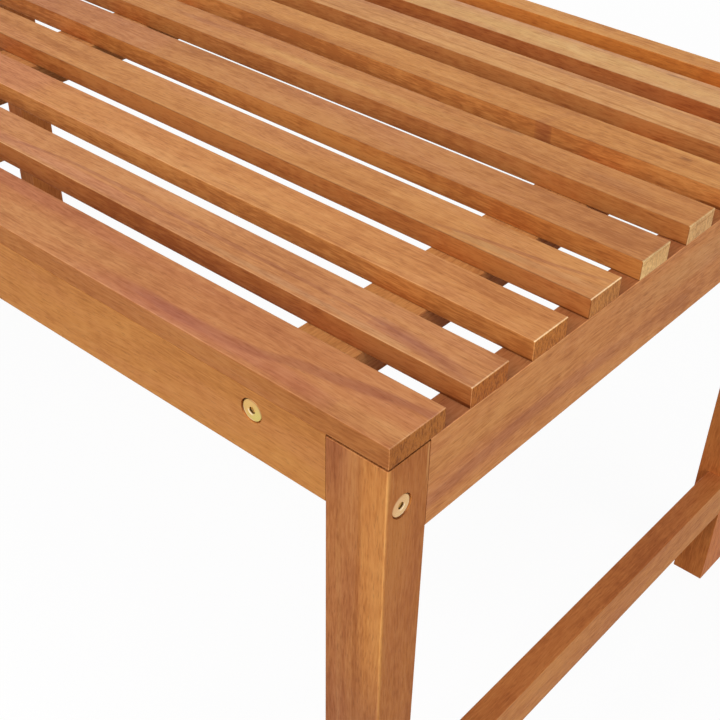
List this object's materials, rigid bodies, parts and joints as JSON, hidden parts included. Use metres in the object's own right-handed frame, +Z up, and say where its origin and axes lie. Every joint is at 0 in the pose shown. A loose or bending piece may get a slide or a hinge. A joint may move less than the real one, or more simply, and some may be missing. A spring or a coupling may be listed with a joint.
{
  "type": "garden bench",
  "caption": "Backless wooden garden bench with a slatted seat, square legs, side stretchers and countersunk flat-head bolts",
  "frame": {"origin": "on the floor under the middle of the seat", "axes": "+X along the length to the right end as the sitter's front is faced, +Y from front to back, +Z up"},
  "size_m": [1, 0.505, 0.45],
  "materials": {
    "oiled_wood": "oiled, satin",
    "beech": "bare",
    "yellow_zinc": "steel, yellow zinc plated"
  },
  "bodies": {
    "root": {"front_right_leg": "oiled_wood", "front_left_leg": "oiled_wood", "rear_right_leg": "oiled_wood", "rear_left_leg": "oiled_wood", "right_side_rail": "oiled_wood", "left_side_rail": "oiled_wood", "right_stretcher": "oiled_wood", "left_stretcher": "oiled_wood", "front_apron": "oiled_wood", "rear_rail": "oiled_wood", "right_bearer": "oiled_wood", "middle_bearer": "oiled_wood", "left_bearer": "oiled_wood", "front_slat": "oiled_wood", "seat_slat_1": "oiled_wood", "seat_slat_2": "oiled_wood", "seat_slat_3": "oiled_wood", "seat_slat_4": "oiled_wood", "seat_slat_5": "oiled_wood", "seat_slat_6": "oiled_wood", "seat_slat_7": "oiled_wood", "seat_slat_8": "oiled_wood", "front_leg_bolts": "yellow_zinc", "rear_leg_bolts": "yellow_zinc", "front_bearer_bolts": "yellow_zinc", "rear_bearer_bolts": "yellow_zinc", "leg_barrel_nuts": "yellow_zinc", "bearer_barrel_nuts": "yellow_zinc", "locating_dowels": "beech", "slat_screws": "yellow_zinc"}
  },
  "joints": []
}
